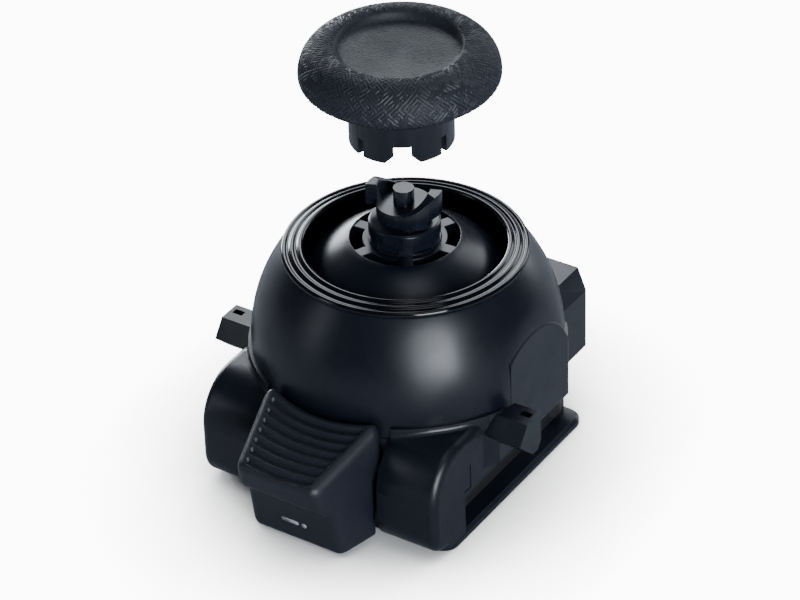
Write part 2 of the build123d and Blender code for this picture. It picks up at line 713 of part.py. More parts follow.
def sensor_parts(turn, letter):
    """Case, cover, resistive track and wiper of a tilt sensor, on the axle at this turn about the stick axis."""
    face = Plane.YZ.rotated((0, 0, turn)).offset(frame_outer)
    low = pivot_height - sensor_below
    size = (2 * sensor_half_width, sensor_above + sensor_below)
    middle_height = low + size[1] / 2
    with BuildPart() as case:
        with BuildSketch(face):
            with Locations((0, middle_height)):
                RectangleRounded(*size, 0.5)
        extrude(amount=sensor_depth)
        with BuildSketch(face.offset(0.4)):
            with Locations((0, pivot_height)):
                Circle(wiper_radius + 0.2)
        extrude(amount=sensor_depth, mode=Mode.SUBTRACT)
        with BuildSketch(face):
            with Locations((0, pivot_height)):
                Circle(axle_radius + 2 * fit_gap)
        extrude(amount=sensor_depth, mode=Mode.SUBTRACT)
        for pin in (-1, 0, 1):
            with BuildSketch(Plane.XY.offset(board_top)):
                centre = plan_point(frame_outer + sensor_depth / 2, turn)
                across = plan_point(pin * 1.6, turn + 90)
                with Locations((centre[0] + across[0], centre[1] + across[1])):
                    Rectangle(0.5, 0.5, rotation=turn)
            extrude(amount=low - board_top + 0.2)
    finish(case, f"sensor_{letter}_case")
    with BuildPart() as cover:
        with BuildSketch(face.offset(sensor_depth)):
            with Locations((0, middle_height)):
                RectangleRounded(*size, 0.5)
        extrude(amount=sensor_cover_thickness)
    finish(cover, f"sensor_{letter}_cover")
    with BuildPart() as track:
        with BuildSketch(face.offset(sensor_depth - track_thickness)):
            with Locations((0, pivot_height)):
                Circle(wiper_radius)
                Circle(wiper_radius - 0.9, mode=Mode.SUBTRACT)
        extrude(amount=track_thickness)
    finish(track, f"sensor_{letter}_track")
    with BuildPart() as wiper:
        with BuildSketch(face.offset(0.6)):
            with Locations((0, pivot_height)):
                Circle(wiper_radius)
                Circle(axle_radius, mode=Mode.SUBTRACT)
        extrude(amount=wiper_thickness)
        with BuildSketch(face.offset(0.6)):
            with Locations((0, pivot_height - wiper_radius + 0.45)):
                Rectangle(0.6, 0.6)
        extrude(amount=sensor_depth - track_thickness - 0.65)
    finish(wiper, f"sensor_{letter}_wiper")


sensor_parts(0, "x")
sensor_parts(90, "y")

# ------------------------------------------------------------------ function button, its pins and its switch
slope_run = button_nose - button_wide
slope = (button_top_back - button_top_front) / slope_run
taper = (button_half_back - button_half_front) / slope_run


def slope_height(y):
    """Height of the button's ribbed slope at a distance y in front of the stick axis."""
    return button_top_front + (button_nose - y) * slope


with BuildPart() as grooves:
    for groove in range(groove_count):
        radius = groove_first + groove * groove_pitch
        half_width = button_half_back - taper * (radius - button_wide) - groove_margin
        with BuildSketch(Plane.XY.offset(button_top_front - 2.0)):
            Circle(radius + groove_width / 2)
            Circle(radius - groove_width / 2, mode=Mode.SUBTRACT)
            with Locations((0, -radius)):
                Rectangle(2 * half_width, 6.0, mode=Mode.INTERSECT)
        extrude(amount=8.0)
    fillet(grooves.edges().filter_by(Axis.Z), 0.45 * groove_width)
    with BuildSketch(Plane.YZ.offset(-button_half_back)):
        Polygon((-12.0, slope_height(12.0) - groove_depth), (-24.0, slope_height(24.0) - groove_depth),
                (-24.0, 20.0), (-12.0, 20.0), align=None)
    extrude(amount=2 * button_half_back, mode=Mode.INTERSECT)

with BuildPart() as fn_button:
    with BuildSketch(Plane.YZ.offset(-button_half_back)) as button_side:
        Polygon((-button_heel, button_foot), (-button_heel, slope_height(button_heel)),
                (-button_nose, button_top_front), button_lip, button_waist, (-button_foot_y, button_foot), align=None)
        fillet(button_side.vertices().sort_by(Axis.X)[0], 0.9)
        fillet([v for v in button_side.vertices() if v.Y in (button_lip[1], button_waist[1])], 0.9)
    extrude(amount=2 * button_half_back)
    # plan shape: the sides close in towards the nose
    with BuildSketch(Plane.XY):
        wide = button_half_back + taper * (button_wide - 12.0)
        narrow = button_half_front - taper
        Polygon((-wide, -12.0), (-narrow, -button_nose - 1.0), (narrow, -button_nose - 1.0), (wide, -12.0),
                align=None)
    extrude(amount=2 * button_top_back, mode=Mode.INTERSECT)
    fillet([e for e in fn_button.edges() if abs(e.center().X) > 3.0 and e.center().Y < -button_heel - 0.5
            and e.center().Z > button_foot + 0.1], button_round)
    # hollow back that follows the bowl, with room behind its lower half for the press
    with BuildSketch(Plane.XY):
        Circle(button_back_radius)
    extrude(amount=2 * button_top_back, mode=Mode.SUBTRACT)
    with BuildSketch(Plane.XY):
        Circle(button_back_radius + 0.75)
    extrude(amount=button_pivot_z - 1.4, mode=Mode.SUBTRACT)
    add(grooves.part, mode=Mode.SUBTRACT)
    # pin bores
    with Locations((0, -button_pivot_y, button_pivot_z)):
        Cylinder(button_pin_radius + fit_gap, 4 * button_half_back, rotation=(0, 90, 0), mode=Mode.SUBTRACT)
finish(fn_button, "fn_button")

pin_inner = 4.8
with BuildPart() as fn_pivot_pins:
    for side in (-1, 1):
        with BuildSketch(Plane.YZ.offset(side * pin_inner)):
            with Locations((-button_pivot_y, button_pivot_z)):
                Circle(button_pin_radius)
        extrude(amount=side * (opening_half_width + 1.4 - pin_inner))
finish(fn_pivot_pins, "fn_pivot_pins")

switch_front = 14.9
fn_board_front = front_cavity - 0.3
with BuildPart() as fn_switch:
    with BuildSketch(Plane.XZ.offset(fn_board_front)):
        with Locations((0, switch_height)):
            RectangleRounded(4.4, 3.0, 0.3)
    extrude(amount=switch_front - fn_board_front)
    with BuildSketch(Plane.XZ.offset(switch_front - 1.3)):
        with Locations((0, switch_height)):
            Circle(0.9 + fit_gap)
    extrude(amount=2.0, mode=Mode.SUBTRACT)
finish(fn_switch, "fn_switch")

with BuildPart() as fn_plunger:
    with BuildSketch(Plane.XZ.offset(switch_front - 0.9)):
        with Locations((0, switch_height)):
            Circle(0.9)
    extrude(amount=button_back_radius + 0.65 - switch_front + 0.9)
finish(fn_plunger, "fn_plunger")

fn_board_thickness = 0.7
with BuildPart() as fn_board:
    with Locations((0, fn_board_thickness / 2 - fn_board_front, plate_top + 0.05)):
        Box(9.0, fn_board_thickness, 6.6, align=up)
finish(fn_board, "fn_board")

# ------------------------------------------------------------------ rear cover, its lid and the connector
rear_middle = -(rear_front + rear_back) / 2
rear_depth = rear_back - rear_front
cover_bottom = rear_bottom + lid_thickness
pocket_top = bowl_foot - 0.8
with BuildPart() as rear_cover:
    with BuildSketch(Plane.XZ.offset(-rear_back)):
        Polygon((-rear_half_width, cover_bottom), (rear_half_width, cover_bottom),
                (rear_half_width, rear_top - rear_bevel_z), (rear_half_width - rear_bevel_x, rear_top),
                (rear_bevel_x - rear_half_width, rear_top), (-rear_half_width, rear_top - rear_bevel_z), align=None)
    extrude(amount=rear_depth)
    fillet(rear_cover.faces().sort_by(Axis.Y)[-1].edges().filter_by(lambda e: e.center().Z > cover_bottom + 0.2), 0.5)
    with BuildSketch(Plane.XZ.offset(-rear_back + 1.1)):
        with Locations((0, (cover_bottom + pocket_top) / 2)):
            Rectangle(2 * (rear_half_width - wall), pocket_top - cover_bottom)
    extrude(amount=rear_depth, mode=Mode.SUBTRACT)
    with Locations((0, 0, bowl_foot)):
        Cylinder(bowl_radius, bowl_flange, align=up, mode=Mode.SUBTRACT)
    with Locations((0, 0, pivot_height)):
        Sphere(bowl_radius, mode=Mode.SUBTRACT)
    with Locations((0, 0, pocket_top - 0.1)):
        Cylinder(bowl_inner, 2.0, align=up, mode=Mode.SUBTRACT)
finish(rear_cover, "rear_cover")

connector_front = 11.25
connector_back = 14.15
with BuildPart() as rear_lid:
    with Locations((0, -rear_middle, rear_bottom)):
        Box(2 * rear_half_width, rear_depth, lid_thickness, align=up)
    fillet(rear_lid.edges().filter_by(Axis.Z).group_by(Axis.Y)[-1], 0.5)
    chamfer(rear_lid.faces().sort_by(Axis.Z)[0].edges(), 0.2)
    with Locations((0, (connector_front + connector_back) / 2, rear_bottom)):
        Box(2 * connector_half_width + 0.1, connector_back - connector_front + 0.1, 4 * lid_thickness,
            mode=Mode.SUBTRACT)
finish(rear_lid, "rear_lid")

contact_places = [(i - (contact_count - 1) / 2) * contact_pitch for i in range(contact_count)]
connector_middle = (connector_front + connector_back) / 2
with BuildPart() as connector_block:
    with Locations((0, connector_middle, rear_bottom + 0.15)):
        Box(2 * connector_half_width, connector_back - connector_front, 4.2, align=up)
    for x in contact_places:
        with Locations((x, connector_middle, rear_bottom - 0.1)):
            Box(0.7, 1.8, 1.2, align=up, mode=Mode.SUBTRACT)
finish(connector_block, "connector_block")

with BuildPart() as connector_contacts:
    for x in contact_places:
        with Locations((x, connector_middle, rear_bottom + 0.1)):
            Box(0.6, 1.7, 0.6, align=up)
finish(connector_contacts, "connector_contacts")

flex_thickness = 0.15
flex_start = tray_back - tray_wall - 0.95
flex_rise = tray_back - tray_wall - 0.35
flex_height = 7.1
with BuildPart() as flex_tail:
    with BuildSketch(Plane.YZ.offset(-4.0)):
        Polygon((flex_start, board_top), (flex_rise, board_top), (flex_rise, flex_height),
                (connector_front, flex_height), (connector_front, flex_height + flex_thickness),
                (flex_rise - flex_thickness, flex_height + flex_thickness),
                (flex_rise - flex_thickness, board_top + flex_thickness), (flex_start, board_top + flex_thickness),
                align=None)
    extrude(amount=8.0)
finish(flex_tail, "flex_tail")
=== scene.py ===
import bpy
import bmesh
import json
import math
from mathutils import Matrix, Vector, noise


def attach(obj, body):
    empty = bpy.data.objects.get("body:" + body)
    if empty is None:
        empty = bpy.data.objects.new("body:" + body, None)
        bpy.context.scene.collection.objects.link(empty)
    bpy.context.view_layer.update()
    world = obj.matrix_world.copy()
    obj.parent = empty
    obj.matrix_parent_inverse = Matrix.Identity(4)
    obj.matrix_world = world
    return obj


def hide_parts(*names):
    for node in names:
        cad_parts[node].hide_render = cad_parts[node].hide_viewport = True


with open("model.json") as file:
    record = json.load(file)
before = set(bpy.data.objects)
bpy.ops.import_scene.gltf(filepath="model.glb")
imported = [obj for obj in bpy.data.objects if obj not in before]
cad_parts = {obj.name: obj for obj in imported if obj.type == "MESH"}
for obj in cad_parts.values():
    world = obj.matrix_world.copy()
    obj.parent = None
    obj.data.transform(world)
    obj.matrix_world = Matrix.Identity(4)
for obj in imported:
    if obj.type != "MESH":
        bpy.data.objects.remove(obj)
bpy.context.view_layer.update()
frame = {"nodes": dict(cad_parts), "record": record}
nodes = frame["nodes"]
MM = 0.001


# ------------------------------------------------------------------ materials
def shader(name, color, roughness, metallic=0.0):
    """A material with a Principled shader whose fixed values sit on the shader itself."""
    made = bpy.data.materials.new(name)
    made.use_nodes = True
    surface = made.node_tree.nodes["Principled BSDF"]
    surface.inputs["Base Color"].default_value = (*color, 1.0)
    surface.inputs["Roughness"].default_value = roughness
    surface.inputs["Metallic"].default_value = metallic
    surface.inputs["IOR"].default_value = 1.46
    return made


def wire(made, source, output, target, socket):
    made.node_tree.links.new(source.outputs[output], target.inputs[socket])


def grain(made, size, strength, distance):
    """Fine moulded grain: bump from noise, with grains of this size in metres."""
    tree = made.node_tree
    place = tree.nodes.new("ShaderNodeTexCoord")
    speckle = tree.nodes.new("ShaderNodeTexNoise")
    speckle.inputs["Scale"].default_value = 1.0 / size
    speckle.inputs["Detail"].default_value = 3.0
    bump = tree.nodes.new("ShaderNodeBump")
    bump.inputs["Strength"].default_value = strength
    bump.inputs["Distance"].default_value = distance
    wire(made, place, "Object", speckle, "Vector")
    wire(made, speckle, "Fac", bump, "Height")
    wire(made, bump, "Normal", tree.nodes["Principled BSDF"], "Normal")


def varied_roughness(made, low, high, size):
    """Roughness that drifts between two values over patches of this size in metres."""
    tree = made.node_tree
    place = tree.nodes.new("ShaderNodeTexCoord")
    cloud = tree.nodes.new("ShaderNodeTexNoise")
    cloud.inputs["Scale"].default_value = 1.0 / size
    cloud.inputs["Detail"].default_value = 4.0
    spread = tree.nodes.new("ShaderNodeMapRange")
    spread.inputs["From Min"].default_value = 0.3
    spread.inputs["From Max"].default_value = 0.7
    spread.inputs["To Min"].default_value = low
    spread.inputs["To Max"].default_value = high
    wire(made, place, "Object", cloud, "Vector")
    wire(made, cloud, "Fac", spread, "Value")
    wire(made, spread, "Result", tree.nodes["Principled BSDF"], "Roughness")


def moulded(name, color, rough, size, strength):
    """Moulded plastic or rubber, with grain of this size and a roughness that drifts."""
    made = shader(name, color, rough)
    grain(made, size, strength, 0.00002)
    varied_roughness(made, rough - 0.05, rough + 0.05, 0.004)
    return made


NAVY = (0.0034, 0.0048, 0.0105)
looks = {
    "casing_plastic": moulded("casing_satin", NAVY, 0.34, 0.00012, 0.10),
    "bowl_plastic": moulded("bowl_satin", NAVY, 0.33, 0.00010, 0.06),
    "dome_plastic": moulded("dome_satin", NAVY, 0.30, 0.00010, 0.05),
    "ring_plastic": moulded("ring_gloss", (0.0015, 0.002, 0.004), 0.12, 0.0003, 0.02),
    "button_plastic": moulded("button_matt", (0.0085, 0.0105, 0.0180), 0.46, 0.00010, 0.2),
    "head_plastic": moulded("head_satin", (0.0055, 0.0075, 0.0135), 0.28, 0.00012, 0.1),
    "grip_rubber": moulded("grip_rubber", (0.0100, 0.0130, 0.0205), 0.52, 0.00008, 0.3),
    "cap_plastic": moulded("cap_satin", (0.0045, 0.006, 0.011), 0.38, 0.00012, 0.1),
    "gimbal_plastic": moulded("acetal", (0.62, 0.61, 0.57), 0.4, 0.0001, 0.1),
    "board_laminate": moulded("solder_mask", (0.012, 0.10, 0.045), 0.35, 0.0003, 0.1),
    "sensor_plastic": moulded("sensor_green", (0.05, 0.16, 0.07), 0.45, 0.0001, 0.1),
    "switch_plastic": moulded("switch_black", (0.012, 0.012, 0.013), 0.45, 0.0001, 0.1),
    "carbon_track": moulded("carbon", (0.01, 0.01, 0.01), 0.6, 0.0001, 0.2),
    "flex_film": moulded("polyimide", (0.30, 0.12, 0.02), 0.3, 0.0003, 0.1),
}
METALS = {
    "frame_steel": ((0.55, 0.55, 0.54), 0.35),
    "spring_steel": ((0.45, 0.45, 0.47), 0.28),
    "contact_brass": ((0.75, 0.53, 0.19), 0.30),
    "screw_steel": ((0.16, 0.16, 0.17), 0.38),
}
for metal, (tone, rough) in METALS.items():
    looks[metal] = shader(metal, tone, rough, metallic=1.0)
    grain(looks[metal], 0.00008, 0.15, 0.00001)
    varied_roughness(looks[metal], rough - 0.08, rough + 0.08, 0.0015)

looks["mark_ink"] = moulded("mark_ink", (0.30, 0.32, 0.35), 0.6, 0.00012, 0.2)
slots = {part["node"]: part["material_slot"] for part in frame["record"]["subparts"]}

for name, piece in nodes.items():
    piece.data.materials.clear()
    piece.data.materials.append(looks[slots[name]])


# ------------------------------------------------------------------ pieces that stand for CAD nodes
def make_piece(name, points, quads, slot, body, replaced=()):
    """Smooth mesh from points in millimetres; it rides on a body and takes a material slot."""
    shape = bpy.data.meshes.new(name)
    shape.from_pydata([tuple(v * MM for v in p) for p in points], [], quads)
    shape.update()
    mesh = bmesh.new()
    mesh.from_mesh(shape)
    bmesh.ops.remove_doubles(mesh, verts=mesh.verts, dist=1e-7)
    bmesh.ops.recalc_face_normals(mesh, faces=mesh.faces)
    mesh.to_mesh(shape)
    mesh.free()
    shape.shade_smooth()
    piece = bpy.data.objects.new(name, shape)
    bpy.context.scene.collection.objects.link(piece)
    piece.data.materials.append(looks[slot])
    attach(piece, body)
    if replaced:
        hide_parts(*replaced)
    return piece


def lathe(profile, turns, shift=None):
    """Points and quads of a closed surface of revolution; shift(r, z, turn, step) moves each point."""
    points, quads = [], []
    count = len(profile)
    for turn in range(turns):
        angle = 2 * math.pi * turn / turns
        for step, (r, z) in enumerate(profile):
            if shift:
                points.append(shift(r, z, angle, step))
            else:
                points.append((r * math.cos(angle), r * math.sin(angle), z))
    for turn in range(turns):
        here, there = turn * count, (turn + 1) % turns * count
        for step in range(count - 1):
            quads.append((here + step, there + step, there + step + 1, here + step + 1))
    return points, quads


def arc(centre, radius, start, end, steps):
    """Points (r, z) on an arc between two angles in degrees, from +r towards +z."""
    angles = [math.radians(start + (end - start) * i / steps) for i in range(steps + 1)]
    return [(centre[0] + radius * math.cos(a), centre[1] + radius * math.sin(a)) for a in angles]


def resample(path, spacing):
    """The same path with points this far apart."""
    out = [path[0]]
    for a, b in zip(path, path[1:]):
        length = math.dist(a, b)
        pieces = max(1, round(length / spacing))
        for i in range(1, pieces + 1):
            out.append((a[0] + (b[0] - a[0]) * i / pieces, a[1] + (b[1] - a[1]) * i / pieces))
    return out


def ease(low, high, value):
    """Soft step from 0 at the low value to 1 at the high one."""
    t = min(1.0, max(0.0, (value - low) / (high - low)))
    return t * t * (3 - 2 * t)


# --- bowl: a sphere whose sides run smoothly into flats, with a side panel below each flat
PIVOT = 12.85                     # height of the tilt centre
BOWL, BOWL_WALL = 15.2, 1.8
BOWL_OPENING, BOWL_FOOT = 11.25, 10.9
BOWL_SEAT = 11.8                  # outer radius of the seat that the trim ring lies on
SEAT = PIVOT + math.sqrt(BOWL ** 2 - BOWL_SEAT ** 2)
SEAT_GAP = 0.02                   # the seat stays this far below the trim ring
FLAT = 14.2


def flattened(x, blend=0.22):
    """A sideways distance held in softly at the flats."""
    reach = abs(x)
    over = (reach - FLAT) / blend
    held = reach - blend * (over if over > 30 else math.log1p(math.exp(over)))
    return math.copysign(held, x)


def bowl_point(r, z, angle, step):
    return flattened(r * math.cos(angle)), r * math.sin(angle), z


bowl_profile = [(BOWL_OPENING, SEAT - SEAT_GAP), (BOWL_SEAT, SEAT - SEAT_GAP)]
top_angle = math.degrees(math.asin((SEAT - PIVOT) / BOWL))
INNER_TOP_ANGLE = 32.9            # where the inner face ends, under the seat
bowl_profile += arc((0, PIVOT), BOWL, top_angle, 0, 90)[1:]
bowl_profile += resample([(BOWL, PIVOT), (BOWL, BOWL_FOOT), (BOWL - BOWL_WALL, BOWL_FOOT)], 0.2)[1:]
bowl_profile += [(BOWL - BOWL_WALL, PIVOT)]
bowl_profile += arc((0, PIVOT), BOWL - BOWL_WALL, 0, INNER_TOP_ANGLE, 20)[1:]
bowl_profile += [(BOWL_OPENING, SEAT - SEAT_GAP)]
points, quads = lathe(bowl_profile, 360, bowl_point)

PANEL_FOOT, PANEL_FRONT, PANEL_BACK, PANEL_CENTRE = 6.1, -4.05, 6.9, 10.8
PANEL_STEP = 0.09
PANEL_PROUD = 0.004               # the panels stand this far out from the flats
PANEL_EDGE = 0.5                  # radius of the panels' edges
PANEL_TOP_CUT = 0.1               # this much of that radius is left out along the arched top
across_steps = round((PANEL_BACK - PANEL_FRONT) / PANEL_STEP)
up_steps = round((PANEL_CENTRE + PANEL_BACK - PANEL_FOOT) / PANEL_STEP)
for side in (-1, 1):
    first = len(points)
    for i in range(across_steps + 1):
        y = PANEL_FRONT + (PANEL_BACK - PANEL_FRONT) * i / across_steps
        top = PANEL_CENTRE + math.sqrt(max(0.0, PANEL_BACK ** 2 - y ** 2))
        for k in range(up_steps + 1):
            z = PANEL_FOOT + (top - PANEL_FOOT) * k / up_steps
            inset = min(PANEL_BACK - y, z - PANEL_FOOT, top - z + PANEL_TOP_CUT, PANEL_EDGE)
            drop = PANEL_EDGE - math.sqrt(max(0.0, PANEL_EDGE ** 2 - (PANEL_EDGE - inset) ** 2))
            points.append((side * (FLAT + PANEL_PROUD - drop), y, z))
    rows = up_steps + 1
    for i in range(across_steps):
        for k in range(up_steps):
            a = first + i * rows + k
            quads.append((a, a + 1, a + 1 + rows, a + rows))
make_piece("bowl_body", points, quads, "bowl_plastic", "module", ["bowl_shell"])

# --- trim ring: three rounded gloss ridges and a dark inner wall
RING_TOP, RING_PITCH, RING_RISE = 22.9, 0.78, 0.17
RING_OUTER, RING_BORE, RING_DEEP = 11.95, 10.1, 20.64
RING_WALL, RING_CHAMFER = 0.9, 0.08
RIDGE, RIDGE_OUTER, RIDGE_SINK = 0.31, 11.62, 0.28        # a ridge's radius, and the centre of the outer one
RIDGE_ARCS = ((5, 150), (35, 150), (35, 180))             # where each ridge starts and ends, from outside in
ring_profile = [(RING_BORE, RING_DEEP), (RING_BORE + RING_WALL, RING_DEEP), (RING_BORE + RING_WALL, SEAT),
                (RING_OUTER - RING_CHAMFER, SEAT), (RING_OUTER, SEAT + RING_CHAMFER)]
for number, (start, end) in enumerate(RIDGE_ARCS):
    ridge_height = RING_TOP + number * RING_RISE - RIDGE_SINK
    ring_profile += arc((RIDGE_OUTER - number * RING_PITCH, ridge_height), RIDGE, start, end, 12)
ring_profile += [(RING_BORE + 0.02, ridge_height - 0.2), (RING_BORE, RING_DEEP)]
points, quads = lathe(ring_profile, 256)
make_piece("ring_body", points, quads, "ring_plastic", "module", ["trim_ring"])

# --- cap pad: rubber with a generic raised maze round the rim and a wrinkled dish
noise.seed_set(11)
socket = [(0.0, 43.0), (7.8, 43.0), (7.8, 42.2), (5.0, 39.6), (5.0, 38.9)]
underside = resample([(5.4, 38.9), (8.75, 41.05)], 0.1)
flank = [(9.34, 41.5), (9.46, 41.8), (9.5, 42.1), (9.47, 42.55), (9.38, 43.0), (9.2, 43.5), (8.95, 43.95),
         (8.65, 44.3), (8.25, 44.67), (7.8, 44.93), (7.3, 45.09), (6.9, 45.15), (6.55, 45.15), (6.27, 45.07),
         (6.05, 44.92), (5.9, 44.72), (5.75, 44.46), (5.6, 44.25), (5.4, 44.12), (5.0, 44.02)]
DISH_LOW, DISH_RISE, DISH_EDGE = 43.85, 0.17, 5.0         # heights of the dish, and the radius where it ends
DISH_STEP = 0.07
dish = [(r, DISH_LOW + DISH_RISE * (r / DISH_EDGE) ** 2) for r in (4.9 - DISH_STEP * i for i in range(70))]
dish.append((0.0, DISH_LOW))


def between(a, b, c, d, t):
    """Catmull-Rom value between b and c, where a and d are their neighbours."""
    square, cube = (2 * a - 5 * b + 4 * c - d) * t * t, (3 * b - a - 3 * c + d) * t ** 3
    return 0.5 * (2 * b + (c - a) * t + square + cube)


def smooth_path(path, spacing):
    """A rounded path through the given points, at even spacing."""
    out = []
    for i in range(len(path) - 1):
        p0, p1, p2, p3 = path[max(i - 1, 0)], path[i], path[i + 1], path[min(i + 2, len(path) - 1)]
        steps = max(1, round(math.dist(p1, p2) / spacing))
        for k in range(steps):
            t = k / steps
            out.append(tuple(between(p0[j], p1[j], p2[j], p3[j], t) for j in (0, 1)))
    return out + [path[-1]]


pad_profile = socket + underside + smooth_path(flank, 0.075) + dish
walked = [0.0]
for a, b in zip(pad_profile, pad_profile[1:]):
    walked.append(walked[-1] + math.dist(a, b))
rim_start = len(socket) + 4
rim_end = next(i for i, (r, z) in enumerate(pad_profile) if r < 5.95 and z > 44)
RELIEF = 0.085                    # depth between the raised bars
MAZE_CELLS = 124                  # cells round the rim
MAZE_CELL = 0.46                  # size of a cell along the section, mm
BAR_CREST, BAR_FOOT = 0.10, 0.34  # half widths of a bar at its top and at its foot, in cells
WRINKLE = 0.03                    # height of the dish's wrinkles
WRINKLES, WRINKLES_WIDE, WRINKLES_FINE = 2.4, 1.6, 3.1


def maze(angle, along):
    """Height from 0 to 1 of a maze of slanting bars, one bar to a cell, set by a seeded choice."""
    round_rim, up_rim = angle / (2 * math.pi) * MAZE_CELLS, along / MAZE_CELL
    column, row = math.floor(round_rim), math.floor(up_rim)
    x, y = round_rim - column, up_rim - row
    if noise.cell(Vector((column % MAZE_CELLS + 0.5, row + 0.5, 3.5))) > 0:
        nearest = min(abs(x - y) / math.sqrt(2), math.hypot(x, 1 - y), math.hypot(1 - x, y))
    else:
        nearest = min(abs(x + y - 1) / math.sqrt(2), math.hypot(x, y), math.hypot(1 - x, 1 - y))
    return 1 - ease(BAR_CREST, BAR_FOOT, nearest)


def pad_point(r, z, angle, step):
    """A point of the pad, moved along its surface's normal by the rim's bars or the dish's wrinkles."""
    before, after = pad_profile[max(step - 1, 0)], pad_profile[min(step + 1, len(pad_profile) - 1)]
    run = math.dist(before, after) or 1.0
    out_r, out_z = (after[1] - before[1]) / run, -(after[0] - before[0]) / run
    depth = 0.0
    if rim_start <= step <= rim_end:
        fade = ease(0, 0.5, walked[step] - walked[rim_start]) * ease(0, 0.3, walked[rim_end] - walked[step])
        depth = RELIEF * fade * (maze(angle, walked[step]) - 1)
    elif step > rim_end:
        spot = Vector((r * math.cos(angle), r * math.sin(angle), 0)) * WRINKLES
        wrinkle = noise.noise(spot * WRINKLES_WIDE) + 0.5 * noise.noise(spot * WRINKLES_FINE)
        depth = WRINKLE * ease(0, 0.4, walked[step] - walked[rim_end]) * (abs(wrinkle) ** 0.7 * 2 - 0.8)
    r, z = r + out_r * depth, z + out_z * depth
    return r * math.cos(angle), r * math.sin(angle), z


points, quads = lathe(pad_profile, 9 * MAZE_CELLS, pad_point)
make_piece("pad_body", points, quads, "grip_rubber", "cap", ["cap_pad"])

# --- function button: a rounded wedge with a hollow back and seven curved grooves
BACK_HIGH, BACK_LOW = 15.6, 16.35          # radius of its hollow back, above and below the step
STEP_HEIGHT, KEY_FOOT = 6.8, 0.4
WIDE, NOSE = 14.2, 23.3                    # distances in front of the stick axis
TOP_BACK, TOP_FRONT = 13.3, 9.85           # heights of the slope at those distances
KEY_SLOPE = (TOP_BACK - TOP_FRONT) / (NOSE - WIDE)
HALF_BACK, HALF_FRONT = 6.65, 4.5
KEY_TAPER = (HALF_BACK - HALF_FRONT) / (NOSE - WIDE)
KEY_ROUND = 0.95                           # radius of its long edges
LIP = (-22.85, 7.4)                        # (y, z) of the nose's lower edge
WAIST = (-20.9, 5.6)                       # (y, z) at the top of the front plate
TOE = -19.95                               # y at the foot of the front plate
GROOVES = [16.75 + 0.98 * i for i in range(7)]            # radii of their centre lines
GROOVE_HALF, GROOVE_DEEP, GROOVE_MARGIN = 0.36, 0.36, 0.95
CORNER_STEPS = 8
SIDE_STEPS = (150, 8, 8, 16, 8, 16, 3, 16)                # on the section's sides, from the slope on
GROOVED = range(CORNER_STEPS + 1, 162)     # points on the slope and the upper part of the nose's edge
SHARE_STEPS, END_STEPS = 130, 10           # sections across the key, and on each of its long edges


def rounded_section(corners, side_steps):
    """Closed path round (y, z, radius) corners, each cut by an arc, with a fixed count on each side."""
    arcs = []
    for i, (y, z, radius) in enumerate(corners):
        before, after = corners[i - 1], corners[(i + 1) % len(corners)]
        to_before = Vector((before[0] - y, before[1] - z)).normalized()
        to_after = Vector((after[0] - y, after[1] - z)).normalized()
        half = to_before.angle(to_after) / 2
        reach = radius / math.tan(half)
        start, end = Vector((y, z)) + to_before * reach, Vector((y, z)) + to_after * reach
        middle = Vector((y, z)) + (to_before + to_after).normalized() * radius / math.sin(half)
        cut = []
        for k in range(CORNER_STEPS + 1):
            out = start.lerp(end, k / CORNER_STEPS) - middle
            cut.append(middle + out.normalized() * radius)
        arcs.append(cut)
    path = []
    for i, (cut, steps) in enumerate(zip(arcs, side_steps)):
        following = arcs[(i + 1) % len(arcs)][0]
        path += cut + [cut[-1].lerp(following, k / steps) for k in range(1, steps)]
    return path


def key_section(x, inset):
    """Section of the button at a sideways place x, drawn in by an inset."""
    high = math.sqrt(BACK_HIGH ** 2 - x * x) + inset
    low = math.sqrt(BACK_LOW ** 2 - x * x) + inset
    fall = inset * math.sqrt(1 + KEY_SLOPE ** 2)
    nose = NOSE - inset

    def slope_at(y):
        return TOP_FRONT + (NOSE - y) * KEY_SLOPE - fall

    corners = [
        (-high, slope_at(high), 0.5),
        (-nose, slope_at(nose), 0.75),
        (LIP[0] + inset, LIP[1] + 0.4 * inset, 1.1),
        (WAIST[0] + inset, WAIST[1], 1.0),
        (TOE + inset, KEY_FOOT + inset, 0.7),
        (-low, KEY_FOOT + inset, 0.2),
        (-low, STEP_HEIGHT + inset, 0.1),
        (-high, STEP_HEIGHT + inset, 0.1),
    ]
    return rounded_section(corners, SIDE_STEPS)


def groove_depth(x, y):
    """How far the seven grooves, round the stick's axis, are cut in at this place on the slope."""
    deepest = 0.0
    away = math.hypot(x, y)
    for radius in GROOVES:
        limit = HALF_BACK - KEY_TAPER * (radius - WIDE) - GROOVE_MARGIN - GROOVE_HALF
        gap = math.hypot(away - radius, max(0.0, abs(x) - limit))
        deepest = max(deepest, 1 - ease(0.72 * GROOVE_HALF, 1.12 * GROOVE_HALF, gap))
    return GROOVE_DEEP * deepest


ends = [math.radians(90 * i / END_STEPS) for i in range(END_STEPS, 0, -1)]
stations = [(1, turn) for turn in ends]
stations += [(1 - 2 * i / SHARE_STEPS, 0.0) for i in range(SHARE_STEPS + 1)]
stations += [(-1, turn) for turn in reversed(ends)]
key_points, key_quads = [], []
for share, turn in stations:
    inset = KEY_ROUND * (1 - math.cos(turn))
    section = key_section(share * (HALF_BACK - KEY_ROUND), inset)
    for k, (y, z) in enumerate(section):
        wide = HALF_BACK - KEY_TAPER * (max(-y, WIDE) - WIDE)
        x = share * (wide - KEY_ROUND + KEY_ROUND * math.sin(turn))
        if k in GROOVED:
            z -= groove_depth(x, y)
        key_points.append((x, y, z))
count = len(section)
for i in range(len(stations) - 1):
    for k in range(count):
        here, there = i * count + k, i * count + (k + 1) % count
        key_quads.append((here, there, there + count, here + count))
key_quads.append(tuple(range(count)))
key_quads.append(tuple(range((len(stations) - 1) * count, len(stations) * count)))
